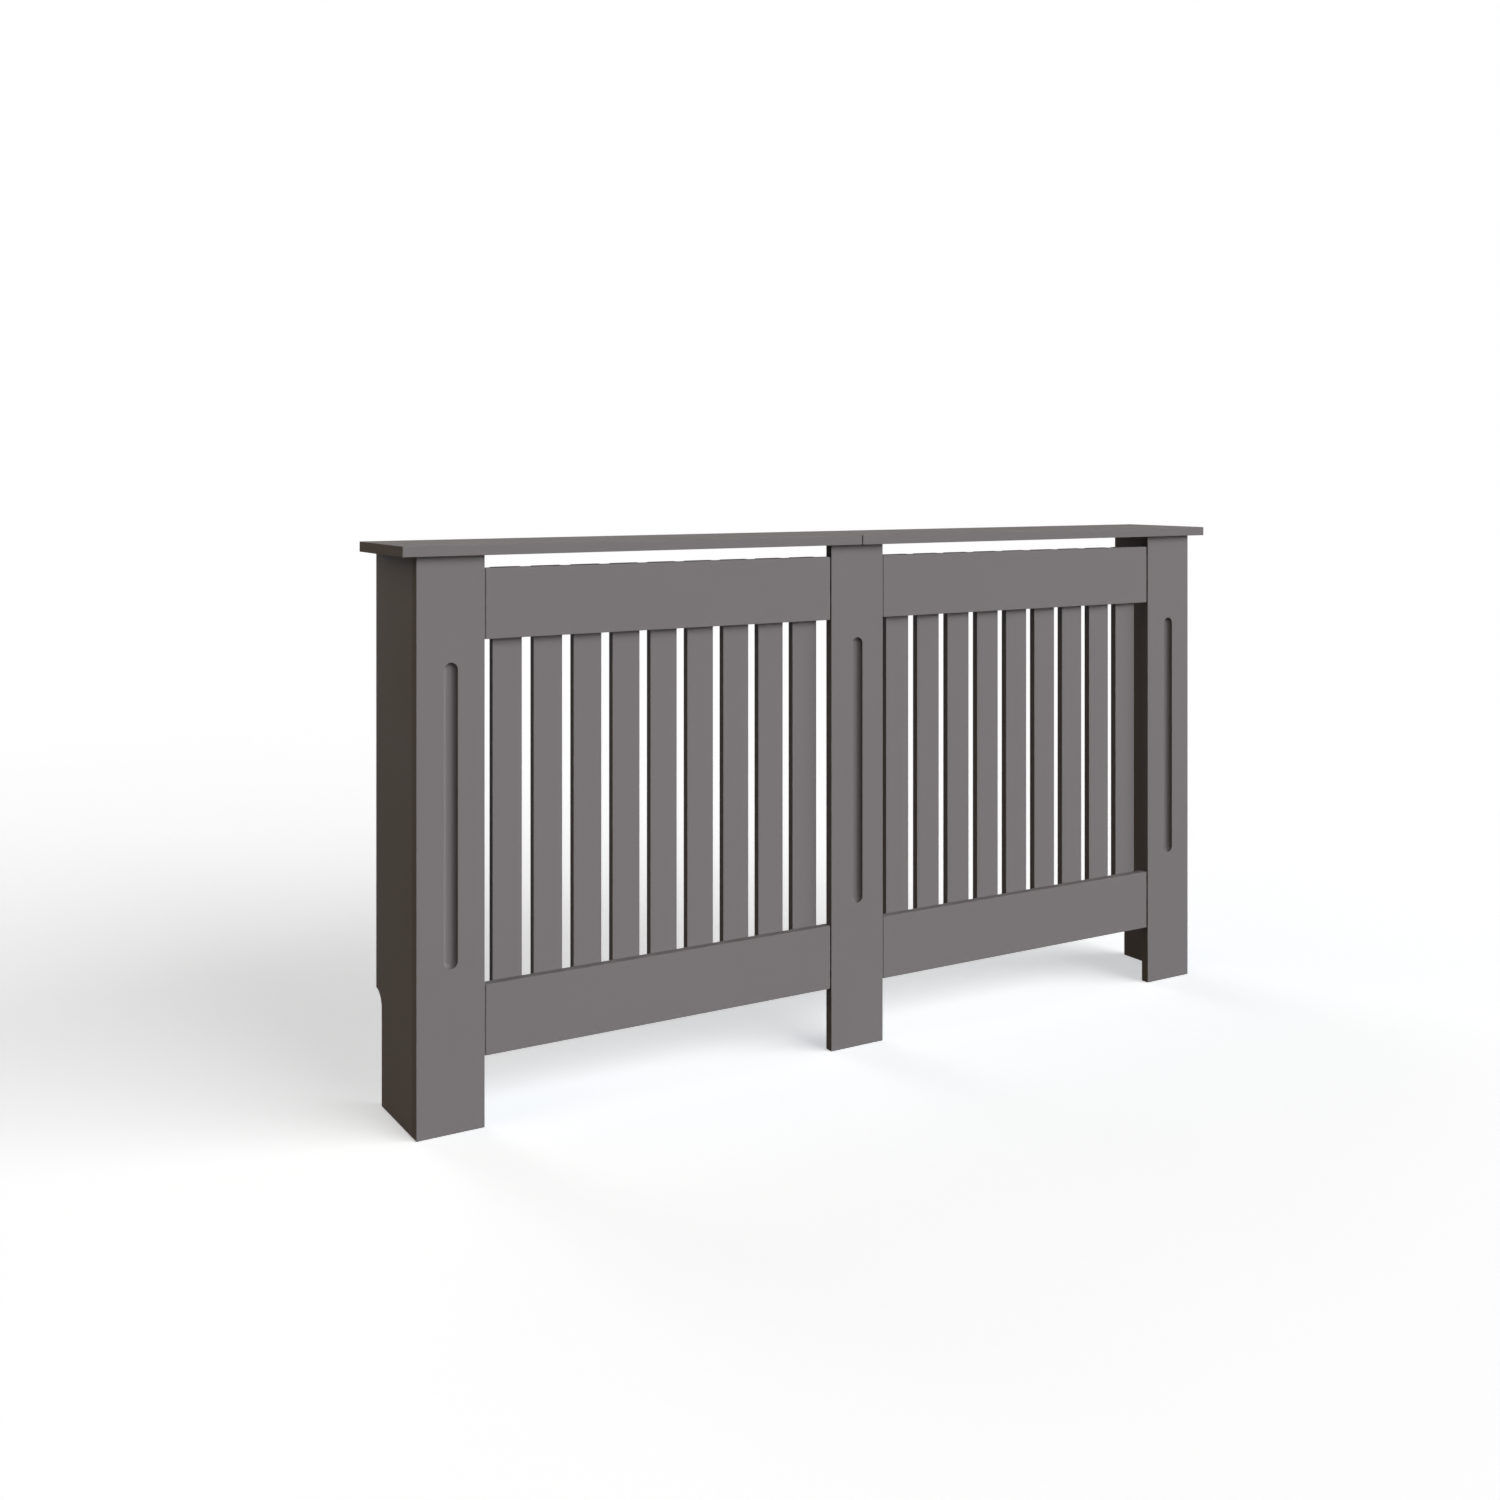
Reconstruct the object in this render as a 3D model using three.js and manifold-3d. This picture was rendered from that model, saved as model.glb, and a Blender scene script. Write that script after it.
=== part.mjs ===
// Radiator cover cabinet: a slatted front frame of three legs and four rails, two side panels
// cut away for the skirting board, and a top shelf in two halves. The back is open.
// Lengths are in millimetres, +Z is up and the front faces -Y. The origin is on the floor,
// under the middle of the top. Left and right are as seen from the front.
import * as THREE from 'three';
import { mergeVertices } from 'three/addons/utils/BufferGeometryUtils.js';
import Module from 'manifold-3d';

// Front frame
const frameWidth = 1470; // over the outer edges of the end legs
const legHeight = 805; // floor to the underside of the top
const legWidth = 100;
const legThickness = 15;
const railHeight = 100;
const railThickness = 15;
const railRecess = 1; // the rail faces lie this far behind the leg faces
const bottomRailLift = 100; // floor to the bottom rails
const topSlotHeight = 19; // open slot between the top rails and the top
const slatCount = 9; // in each of the two bays
const slatWidth = 45;
const slatThickness = 12;

// Routed groove in each leg face, with a rounded floor and rounded ends
const grooveWidth = 20;
const grooveDepth = 8;
const grooveEndSpace = 30; // from the level of the nearest rail edge to the end of the groove

// Side panels
const frameDepth = 174; // leg faces to the rear edges of the side panels
const sideThickness = 15;
const skirtingNotchHeight = 166;
const skirtingNotchDepth = 25;
const skirtingNotchRadius = 25; // hollow inner corner of the notch

// Top shelf
const topThickness = 15;
const topSideOverhang = 25; // past the end legs
const topFrontOverhang = 15; // past the leg faces
const topJointGap = 1.5; // open joint between the two halves

// Wooden dowels
const dowelDiameter = 8;
const dowelLength = 30;
const dowelChamfer = 1;
const centreDowelSpacing = 50; // between the two dowels in the top of the centre leg
const rearDowelInset = 30; // rear edge of a side panel to the dowel in its top edge

// Cam fittings: a turning cam in the side panel holds the head of a bolt in the next board
const camDiameter = 15;
const camSetback = 24; // mating edge of the panel to the axis of the cam
const camBackWall = 2.7; // of the panel, left behind the pocket of the cam
const camSlotSweep = THREE.MathUtils.degToRad(100); // turn that draws the bolt in
const camSlotLead = THREE.MathUtils.degToRad(5); // open slot on the far side of the neck
const camDriveLength = 7;
const camDriveWidth = 1.6;
const camDriveDepth = 1.5;
const boltThreadDiameter = 5;
const boltShaftDiameter = 6;
const boltNeckDiameter = 4;
const boltNeckLead = 1; // bare neck outside the rim of the cam
const boltHeadDiameter = 7;
const boltHeadLength = 5;
const boltTipChamfer = 1;
const lowerFittingHeight = 120; // floor to the lower fitting between leg and side panel
const upperFittingDrop = 105; // underside of the top down to the upper fitting
const topFittingInset = 40; // front edge of a side panel to the fitting in its top edge

// Steel plate and screws that join the two halves of the top
const plateLength = 100;
const plateWidth = 40;
const plateThickness = 2;
const plateCornerRadius = 4;
const plateHoleSpacingX = 70;
const plateHoleSpacingY = 22;
const screwShankDiameter = 3.5;
const screwHeadDiameter = 7;
const screwCrownDiameter = 5.2; // flat middle of the rounded head
const screwHeadHeight = 2.2;
const screwPointLength = 3;
const screwDriveLength = 4;
const screwDriveWidth = 0.9;
const screwDriveDepth = 1.2;

// Clearances
const fitClearance = 0.3; // round a dowel, bolt, cam or screw
const boreEndClearance = 0.5; // past the end of what a stopped bore holds
const boreSkin = 4.5; // of a board, left in front of a bore drilled into its flat face
const cutOverrun = 2; // how far a cutting shape starts outside the board

// Steps round each circle
const roundSegments = 16;
const camSegments = 24;
const grooveSegments = 48;
const grooveEndSegments = 8;
const cornerSegments = 4;
const notchSegments = 12;

// Places worked out from the sizes above
const overallWidth = frameWidth + 2 * topSideOverhang;
const overallDepth = frameDepth + topFrontOverhang;
const rearY = overallDepth / 2;
const topFrontY = -overallDepth / 2;
const legFrontY = topFrontY + topFrontOverhang;
const legBackY = legFrontY + legThickness;
const railFrontY = legFrontY + railRecess;
const railBackY = railFrontY + railThickness;
const bottomRailTopZ = bottomRailLift + railHeight;
const topRailTopZ = legHeight - topSlotHeight;
const topRailBottomZ = topRailTopZ - railHeight;
const bayWidth = (frameWidth - 3 * legWidth) / 2;
const slatGap = (bayWidth - slatCount * slatWidth) / (slatCount + 1);
const endLegX = (frameWidth - legWidth) / 2;
const bayCentreX = (legWidth + bayWidth) / 2;
const sideCentreX = (frameWidth - sideThickness) / 2;
const sides = [{ side: 'left', sign: -1 }, { side: 'right', sign: 1 }];

const unitX = new THREE.Vector3(1, 0, 0);
const unitY = new THREE.Vector3(0, 1, 0);
const unitZ = new THREE.Vector3(0, 0, 1);

const paint = new THREE.MeshStandardMaterial({ color: 0x7b7776, roughness: 0.5, metalness: 0 });
const beech = new THREE.MeshStandardMaterial({ color: 0xcfa878, roughness: 0.7, metalness: 0 });
const zinc = new THREE.MeshStandardMaterial({ color: 0xa9abad, roughness: 0.4, metalness: 1 });
const steel = new THREE.MeshStandardMaterial({ color: 0xb9bbbd, roughness: 0.3, metalness: 1 });

const wasm = await Module();
wasm.setup();

const cabinet = new THREE.Group();
cabinet.name = 'radiator_cover_cabinet';

// Joins vertices that lie in one place and drops the triangles that this makes empty.
function weld(geometry) {
  const bare = geometry.clone();
  bare.deleteAttribute('normal');
  bare.deleteAttribute('uv');
  const welded = mergeVertices(bare);
  const corners = [];
  for (let i = 0; i < welded.index.count; i += 3) {
    const [a, b, c] = [0, 1, 2].map((k) => welded.index.getX(i + k));
    if (a !== b && b !== c && c !== a) {
      corners.push(a, b, c);
    }
  }
  welded.setIndex(corners);
  return welded;
}

function toSolid(geometry) {
  const welded = weld(geometry);
  return new wasm.Manifold(new wasm.Mesh({
    numProp: 3,
    vertProperties: welded.attributes.position.array,
    triVerts: Uint32Array.from(welded.index.array),
  }));
}

function toGeometry(solid) {
  const { vertProperties, triVerts } = solid.getMesh();
  const geometry = new THREE.BufferGeometry();
  geometry.setAttribute('position', new THREE.BufferAttribute(vertProperties, 3));
  geometry.setIndex(new THREE.BufferAttribute(triVerts, 1));
  geometry.computeVertexNormals();
  return geometry;
}

function subtract(geometry, cutters) {
  const result = cutters.reduce((solid, cutter) => solid.subtract(toSolid(cutter)), toSolid(geometry));
  return toGeometry(result);
}

// A box centred on X = 0, with its limits in Y and Z.
function block(width, [y0, y1], [z0, z1]) {
  return new THREE.BoxGeometry(width, y1 - y0, z1 - z0).translate(0, (y0 + y1) / 2, (z0 + z1) / 2);
}

// A round bar along Z, from z0 to z1.
function rod(radius, z0, z1, segments = roundSegments) {
  return new THREE.CylinderGeometry(radius, radius, z1 - z0, segments)
    .rotateX(Math.PI / 2)
    .translate(0, 0, (z0 + z1) / 2);
}

// A turned body about Z. Its profile of [radius, z] points runs upwards from the axis to the axis.
function turned(profile) {
  const points = profile.map(([radius, z]) => new THREE.Vector2(radius, z));
  return new THREE.LatheGeometry(points, roundSegments).rotateX(Math.PI / 2);
}

// Two crossed bars about Z, from z0 to z1: the shape of a cross-shaped driver.
function driveCross(length, width, z0, z1) {
  const middle = (z0 + z1) / 2;
  return [
    new THREE.BoxGeometry(length, width, z1 - z0).translate(0, 0, middle),
    new THREE.BoxGeometry(width, length, z1 - z0).translate(0, 0, middle),
  ];
}

// The turn and place that put a shape's origin at point, its +Z along axis and its +X along facing.
function placing(point, axis, facing) {
  const third = new THREE.Vector3().crossVectors(axis, facing);
  return new THREE.Matrix4().makeBasis(facing, third, axis).setPosition(point);
}

function addMesh(name, geometry, material, matrix) {
  const mesh = new THREE.Mesh(geometry, material.clone());
  mesh.name = name;
  mesh.applyMatrix4(matrix);
  cabinet.add(mesh);
}

// Cuts wanted in each board, by the name of the board and in the frame of the cabinet.
const cuts = new Map();

function cutFrom(boardName, geometry, matrix) {
  const list = cuts.get(boardName) ?? [];
  list.push(geometry.clone().applyMatrix4(matrix));
  cuts.set(boardName, list);
}

// A board whose blank is centred on X = 0, moved to its own X and cut.
function addBoard(name, blank, x) {
  const cutters = (cuts.get(name) ?? []).map((cutter) => cutter.clone().translate(-x, 0, 0));
  const geometry = cutters.length > 0 ? subtract(blank, cutters) : weld(blank);
  addMesh(name, geometry, paint, new THREE.Matrix4().makeTranslation(x, 0, 0));
}

// How far a pin reaches into the flat face of a board.
function faceDepth(thickness) {
  return thickness - boreSkin - boreEndClearance;
}

// A dowel across the joint at point. It goes in by depth along axis, and the rest goes back.
function addDowel(name, point, axis, facing, depth, boardNames) {
  const radius = dowelDiameter / 2;
  const back = depth - dowelLength;
  const matrix = placing(point, axis, facing);
  const dowel = turned([
    [0, back],
    [radius - dowelChamfer, back],
    [radius, back + dowelChamfer],
    [radius, depth - dowelChamfer],
    [radius - dowelChamfer, depth],
    [0, depth],
  ]);
  const bore = rod(radius + fitClearance, back - boreEndClearance, depth + boreEndClearance);
  boardNames.forEach((boardName) => cutFrom(boardName, bore, matrix));
  addMesh(name, weld(dowel), beech, matrix);
}

// The cam, about Z, with its driven face up. Z = 0 is the level of the bolt's axis, and the bolt
// comes in from -X. Below the face the cam is hollow for the head of the bolt, and its wall has
// a slot for the neck, which lets it turn.
const camRadius = camDiameter / 2;
const camFaceZ = sideThickness / 2;
const camBottomZ = -sideThickness / 2 + camBackWall + fitClearance;

function makeCam() {
  const neckSpace = boltNeckDiameter / 2 + fitClearance;
  const headSpace = boltHeadDiameter / 2 + fitClearance;
  const hollowRadius = Math.hypot(boltHeadLength / 2, boltHeadDiameter / 2) + fitClearance;
  const slotStart = Math.PI - Math.asin(neckSpace / hollowRadius) - camSlotLead;
  const slotEnd = Math.PI + camSlotSweep;
  const sector = new THREE.Shape();
  sector.absarc(0, 0, camRadius + cutOverrun, slotStart, slotEnd, false);
  sector.absarc(0, 0, boltNeckDiameter / 2, slotEnd, slotStart, true);
  const slot = new THREE.ExtrudeGeometry(sector, {
    depth: 2 * neckSpace,
    bevelEnabled: false,
    curveSegments: roundSegments,
  }).translate(0, 0, -neckSpace);
  return subtract(rod(camRadius, camBottomZ, camFaceZ, camSegments), [
    rod(hollowRadius, camBottomZ - cutOverrun, headSpace, camSegments),
    slot,
    ...driveCross(camDriveLength, camDriveWidth, camFaceZ - camDriveDepth, camFaceZ + cutOverrun),
  ]);
}

// The bolt, about Z. Z = 0 is the joint, the thread is above it and the head below it.
function makeCamBolt(threadLength) {
  const headRadius = boltHeadDiameter / 2;
  const neckRadius = boltNeckDiameter / 2;
  const shaftRadius = boltShaftDiameter / 2;
  const threadRadius = boltThreadDiameter / 2;
  const headBottomZ = -camSetback - boltHeadLength / 2;
  const headTopZ = -camSetback + boltHeadLength / 2;
  const neckTopZ = -camSetback + camRadius + boltNeckLead;
  return weld(turned([
    [0, headBottomZ],
    [headRadius, headBottomZ],
    [headRadius, headTopZ],
    [neckRadius, headTopZ],
    [neckRadius, neckTopZ],
    [shaftRadius, neckTopZ],
    [shaftRadius, -fitClearance],
    [threadRadius, -fitClearance],
    [threadRadius, threadLength - boltTipChamfer],
    [threadRadius - boltTipChamfer, threadLength],
    [0, threadLength],
  ]));
}

// A cam fitting at point, in the middle of the panel's edge. Its bolt goes along axis into the
// flat face of the next board, and the driven face of the cam looks along inward.
function addCamFitting(name, point, axis, inward, panelName, boardName, boardThickness) {
  const threadLength = faceDepth(boardThickness);
  const matrix = placing(point, axis, inward);
  const camMatrix = matrix.clone()
    .multiply(new THREE.Matrix4().makeTranslation(0, 0, -camSetback))
    .multiply(new THREE.Matrix4().makeRotationY(Math.PI / 2));
  const pocketZ = [camBottomZ - fitClearance, camFaceZ + cutOverrun];
  const shaftSpace = boltShaftDiameter / 2 + fitClearance;
  const threadSpace = boltThreadDiameter / 2 + fitClearance;
  cutFrom(panelName, rod(camRadius + fitClearance, ...pocketZ, camSegments), camMatrix);
  cutFrom(panelName, rod(shaftSpace, -camSetback, cutOverrun), matrix);
  cutFrom(boardName, rod(threadSpace, -cutOverrun, threadLength + boreEndClearance), matrix);
  addMesh(`${name}_cam`, makeCam(), zinc, camMatrix);
  addMesh(`${name}_bolt`, makeCamBolt(threadLength), steel, matrix);
}

// The plate lies under the joint of the top, and its four screws go up through it.
function addJoiningPlate() {
  const halfLength = plateLength / 2 - plateCornerRadius;
  const halfWidth = plateWidth / 2 - plateCornerRadius;
  const outline = new THREE.Shape();
  outline.absarc(halfLength, halfWidth, plateCornerRadius, 0, Math.PI / 2, false);
  outline.absarc(-halfLength, halfWidth, plateCornerRadius, Math.PI / 2, Math.PI, false);
  outline.absarc(-halfLength, -halfWidth, plateCornerRadius, Math.PI, Math.PI * 1.5, false);
  outline.absarc(halfLength, -halfWidth, plateCornerRadius, Math.PI * 1.5, Math.PI * 2, false);
  const plate = new THREE.ExtrudeGeometry(outline, {
    depth: plateThickness,
    bevelEnabled: false,
    curveSegments: cornerSegments,
  }).translate(0, 0, legHeight - plateThickness);

  const shankRadius = screwShankDiameter / 2;
  const headRadius = screwHeadDiameter / 2;
  const shankLength = plateThickness + faceDepth(topThickness);
  const drive = [-screwHeadHeight - cutOverrun, screwDriveDepth - screwHeadHeight];
  const screw = subtract(turned([
    [0, -screwHeadHeight],
    [screwCrownDiameter / 2, -screwHeadHeight],
    [headRadius, -screwHeadHeight / 2],
    [headRadius, 0],
    [shankRadius, 0],
    [shankRadius, shankLength - screwPointLength],
    [0, shankLength],
  ]), driveCross(screwDriveLength, screwDriveWidth, ...drive));
  const bore = rod(shankRadius + fitClearance, -cutOverrun, shankLength + boreEndClearance);

  const plateBores = [];
  for (const { side, sign } of sides) {
    for (const [row, rowSign] of [['front', -1], ['rear', 1]]) {
      const point = new THREE.Vector3(
        sign * plateHoleSpacingX / 2,
        rowSign * plateHoleSpacingY / 2,
        legHeight - plateThickness,
      );
      const matrix = placing(point, unitZ, unitX);
      plateBores.push(bore.clone().applyMatrix4(matrix));
      cutFrom(`top_board_${side}`, bore, matrix);
      addMesh(`plate_screw_${side}_${row}`, screw.clone(), steel, matrix);
    }
  }
  addMesh('joining_plate', subtract(plate, plateBores), steel, new THREE.Matrix4());
}

// The groove cutter: a bar with round ends that stands in front of the leg. Its radius gives the
// wanted width where it meets the leg face and the wanted depth in the middle.
function makeGrooveCutter() {
  const halfWidth = grooveWidth / 2;
  const radius = (halfWidth ** 2 + grooveDepth ** 2) / (2 * grooveDepth);
  const lowEndZ = bottomRailTopZ + grooveEndSpace + halfWidth;
  const highEndZ = topRailBottomZ - grooveEndSpace - halfWidth;
  return new THREE.CapsuleGeometry(radius, highEndZ - lowEndZ, grooveEndSegments, grooveSegments)
    .rotateX(Math.PI / 2)
    .translate(0, legFrontY + grooveDepth - radius, (lowEndZ + highEndZ) / 2);
}

function addLegs() {
  const blank = block(legWidth, [legFrontY, legBackY], [0, legHeight]);
  const groove = makeGrooveCutter();
  for (const [name, x] of [['leg_left', -endLegX], ['leg_centre', 0], ['leg_right', endLegX]]) {
    cutFrom(name, groove, new THREE.Matrix4().makeTranslation(x, 0, 0));
    addBoard(name, blank, x);
  }
}

// The rails butt between the legs, and the slats are fixed across their backs.
function addBay(side, sign) {
  const bayX = sign * bayCentreX;
  const rails = [['bottom', bottomRailLift, bottomRailTopZ], ['top', topRailBottomZ, topRailTopZ]];
  for (const [level, z0, z1] of rails) {
    addBoard(`${level}_rail_${side}`, block(bayWidth, [railFrontY, railBackY], [z0, z1]), bayX);
  }
  const slatY = [railBackY, railBackY + slatThickness];
  const slat = weld(block(slatWidth, slatY, [bottomRailLift, topRailTopZ]));
  for (let i = 0; i < slatCount; i += 1) {
    const x = bayX - bayWidth / 2 + slatGap + slatWidth / 2 + i * (slatGap + slatWidth);
    const matrix = new THREE.Matrix4().makeTranslation(x, 0, 0);
    addMesh(`slat_${side}_${i + 1}`, slat.clone(), paint, matrix);
  }
}

// Each rail end is held in the edge of a leg by a dowel in the middle of the shared thickness.
function addRailDowels(side, sign) {
  const y = (Math.max(legFrontY, railFrontY) + Math.min(legBackY, railBackY)) / 2;
  const ends = [
    { end: 'outer', x: bayCentreX + bayWidth / 2, leg: `leg_${side}` },
    { end: 'inner', x: bayCentreX - bayWidth / 2, leg: 'leg_centre' },
  ];
  for (const [level, railZ] of [['bottom', bottomRailLift], ['top', topRailBottomZ]]) {
    for (const { end, x, leg } of ends) {
      const point = new THREE.Vector3(sign * x, y, railZ + railHeight / 2);
      const boardNames = [`${level}_rail_${side}`, leg];
      addDowel(`${level}_rail_dowel_${side}_${end}`, point, unitX, unitY, dowelLength / 2, boardNames);
    }
  }
}

// A side panel joins its leg by two cam fittings with a dowel between them, and the top by one
// fitting in front and one dowel behind.
function addSideJoints(side, sign) {
  const panel = `side_panel_${side}`;
  const leg = `leg_${side}`;
  const top = `top_board_${side}`;
  const x = sign * sideCentreX;
  const inward = unitX.clone().multiplyScalar(-sign);
  const forward = unitY.clone().negate();
  const upperZ = legHeight - upperFittingDrop;
  for (const [level, z] of [['lower', lowerFittingHeight], ['upper', upperZ]]) {
    const point = new THREE.Vector3(x, legBackY, z);
    addCamFitting(`${level}_${side}`, point, forward, inward, panel, leg, legThickness);
  }
  const legPoint = new THREE.Vector3(x, legBackY, (lowerFittingHeight + upperZ) / 2);
  addDowel(`leg_dowel_${side}`, legPoint, forward, inward, faceDepth(legThickness), [panel, leg]);

  const frontPoint = new THREE.Vector3(x, legBackY + topFittingInset, legHeight);
  addCamFitting(`top_${side}`, frontPoint, unitZ, inward, panel, top, topThickness);
  const rearPoint = new THREE.Vector3(x, rearY - rearDowelInset, legHeight);
  addDowel(`rear_top_dowel_${side}`, rearPoint, unitZ, inward, faceDepth(topThickness), [panel, top]);
}

// Each half of the top is pinned to the centre leg.
function addCentreDowel(side, sign) {
  const point = new THREE.Vector3(sign * centreDowelSpacing / 2, (legFrontY + legBackY) / 2, legHeight);
  const boardNames = ['leg_centre', `top_board_${side}`];
  addDowel(`centre_top_dowel_${side}`, point, unitZ, unitX, faceDepth(topThickness), boardNames);
}

// Outline of a side panel in depth and height, with the skirting notch at the rear of its foot.
function addSidePanel(side, sign) {
  const radius = Math.min(skirtingNotchRadius, skirtingNotchDepth);
  const notchY = rearY - skirtingNotchDepth;
  const outline = new THREE.Shape();
  outline.moveTo(legBackY, 0);
  outline.lineTo(notchY, 0);
  outline.absarc(notchY + radius, skirtingNotchHeight - radius, radius, Math.PI, Math.PI / 2, true);
  if (skirtingNotchDepth > radius) {
    outline.lineTo(rearY, skirtingNotchHeight);
  }
  outline.lineTo(rearY, legHeight);
  outline.lineTo(legBackY, legHeight);
  const blank = new THREE.ExtrudeGeometry(outline, {
    depth: sideThickness,
    bevelEnabled: false,
    curveSegments: notchSegments,
  }).applyMatrix4(new THREE.Matrix4().makeBasis(unitY, unitZ, unitX)).translate(-sideThickness / 2, 0, 0);
  addBoard(`side_panel_${side}`, blank, sign * sideCentreX);
}

function addTopBoard(side, sign) {
  const width = (overallWidth - topJointGap) / 2;
  const blank = block(width, [topFrontY, rearY], [legHeight, legHeight + topThickness]);
  addBoard(`top_board_${side}`, blank, sign * (width + topJointGap) / 2);
}

// The joints come first, because they set the cuts in the boards.
addJoiningPlate();
for (const { side, sign } of sides) {
  addRailDowels(side, sign);
  addSideJoints(side, sign);
  addCentreDowel(side, sign);
}
addLegs();
for (const { side, sign } of sides) {
  addBay(side, sign);
  addSidePanel(side, sign);
  addTopBoard(side, sign);
}

export default cabinet;
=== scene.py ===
import math

import bmesh
import bpy
import numpy as np
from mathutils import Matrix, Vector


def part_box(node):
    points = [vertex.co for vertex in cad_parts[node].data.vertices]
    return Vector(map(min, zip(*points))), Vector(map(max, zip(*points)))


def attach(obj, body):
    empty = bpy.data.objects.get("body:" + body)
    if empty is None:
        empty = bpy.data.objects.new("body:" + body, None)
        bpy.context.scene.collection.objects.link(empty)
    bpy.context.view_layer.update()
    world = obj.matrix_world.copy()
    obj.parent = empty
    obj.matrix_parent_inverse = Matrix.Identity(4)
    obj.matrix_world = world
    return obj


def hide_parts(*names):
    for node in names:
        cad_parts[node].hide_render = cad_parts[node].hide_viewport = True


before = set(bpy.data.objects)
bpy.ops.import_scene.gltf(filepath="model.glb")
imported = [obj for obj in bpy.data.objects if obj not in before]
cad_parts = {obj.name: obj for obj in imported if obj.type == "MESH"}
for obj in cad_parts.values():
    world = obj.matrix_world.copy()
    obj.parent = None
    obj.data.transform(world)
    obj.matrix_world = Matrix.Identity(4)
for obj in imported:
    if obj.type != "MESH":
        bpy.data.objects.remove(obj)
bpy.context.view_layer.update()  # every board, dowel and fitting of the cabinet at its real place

print("frame loaded with", len(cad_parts), "pieces")

# All lengths are metres. The front faces -Y, +Z is up and the floor is at Z = 0.


# Camera

cameraSetup = {
    "location": (-1.49781, -2.24843, 0.92200),
    "turn": 30.882,  # degrees to the right of straight ahead
    "lens": 39.345,
    "sensor": 36.0,
    "imageSide": 1500,
    "horizonRow": 471.4,  # where the level line of sight falls, in rows from the top
}


def makeCamera(setup):
    # a level camera, shifted down so that every upright stays upright
    data = bpy.data.cameras.new("camera")
    data.sensor_width = setup["sensor"]
    data.lens = setup["lens"]
    data.shift_y = (setup["horizonRow"] - setup["imageSide"] / 2) / setup["imageSide"]
    camera = bpy.data.objects.new("camera", data)
    camera.location = setup["location"]
    camera.rotation_euler = (math.pi / 2, 0, -math.radians(setup["turn"]))
    bpy.context.scene.collection.objects.link(camera)
    bpy.context.scene.camera = camera


makeCamera(cameraSetup)
print("camera placed")


# Shader groups that several finishes share

def link(tree, source, target):
    tree.links.new(source, target)


def addNode(tree, kind, place, settings=None, sockets=None):
    # a node with its settings, and with the values of its input sockets given by name or number
    node = tree.nodes.new(kind)
    node.location = place
    for key, value in (settings or {}).items():
        setattr(node, key, value)
    for key, value in (sockets or {}).items():
        node.inputs[key].default_value = value
    return node


def newGroup(name, inputs, outputs):
    # an empty group with named sockets; inputs carry their default values
    tree = bpy.data.node_groups.new(name, "ShaderNodeTree")
    for label, kind, value in inputs:
        socket = tree.interface.new_socket(name=label, in_out="INPUT", socket_type=kind)
        if value is not None:
            socket.default_value = value
    for label, kind in outputs:
        tree.interface.new_socket(name=label, in_out="OUTPUT", socket_type=kind)
    entry = addNode(tree, "NodeGroupInput", (-900, 0))
    leave = addNode(tree, "NodeGroupOutput", (600, 0))
    return tree, entry, leave


filmShape = {
    "peelDetail": 3.0,
    "peelRoughness": 0.45,
    "dimpleShare": 0.6,  # of the round dimples in the height of the peel
    "cloudDetail": 4.0,
    "cloudRoughness": 0.55,
}


def makeFilmGroup(shape):
    # sprayed film: fine orange peel over broad, faint differences in thickness
    tree, entry, leave = newGroup(
        "sprayedFilm",
        [("Vector", "NodeSocketVector", None), ("Peel Scale", "NodeSocketFloat", 600.0),
         ("Cloud Scale", "NodeSocketFloat", 7.0)],
        [("Height", "NodeSocketFloat"), ("Cloud", "NodeSocketFloat")],
    )
    peel = addNode(tree, "ShaderNodeTexNoise", (-600, 150),
                   sockets={"Detail": shape["peelDetail"], "Roughness": shape["peelRoughness"]})
    dimple = addNode(tree, "ShaderNodeTexVoronoi", (-600, -120), settings={"feature": "SMOOTH_F1"},
                     sockets={"Smoothness": 1.0, "Randomness": 1.0})
    both = addNode(tree, "ShaderNodeMath", (-250, 60), settings={"operation": "MULTIPLY_ADD"},
                   sockets={1: shape["dimpleShare"]})
    cloud = addNode(tree, "ShaderNodeTexNoise", (-600, -400),
                    sockets={"Detail": shape["cloudDetail"], "Roughness": shape["cloudRoughness"]})
    for texture, scale in ((peel, "Peel Scale"), (dimple, "Peel Scale"), (cloud, "Cloud Scale")):
        link(tree, entry.outputs["Vector"], texture.inputs["Vector"])
        link(tree, entry.outputs[scale], texture.inputs["Scale"])
    link(tree, dimple.outputs["Distance"], both.inputs[0])
    link(tree, peel.outputs["Fac"], both.inputs[2])
    link(tree, both.outputs[0], leave.inputs["Height"])
    link(tree, cloud.outputs["Fac"], leave.inputs["Cloud"])
    return tree


wearShape = {
    "breakScale": 90.0,
    "breakDetail": 5.0,
    "breakReach": 0.5,  # how far the noise moves the rim of the band, from end to end
    "full": 1.1,  # band and noise together at which the mask is full
}


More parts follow.
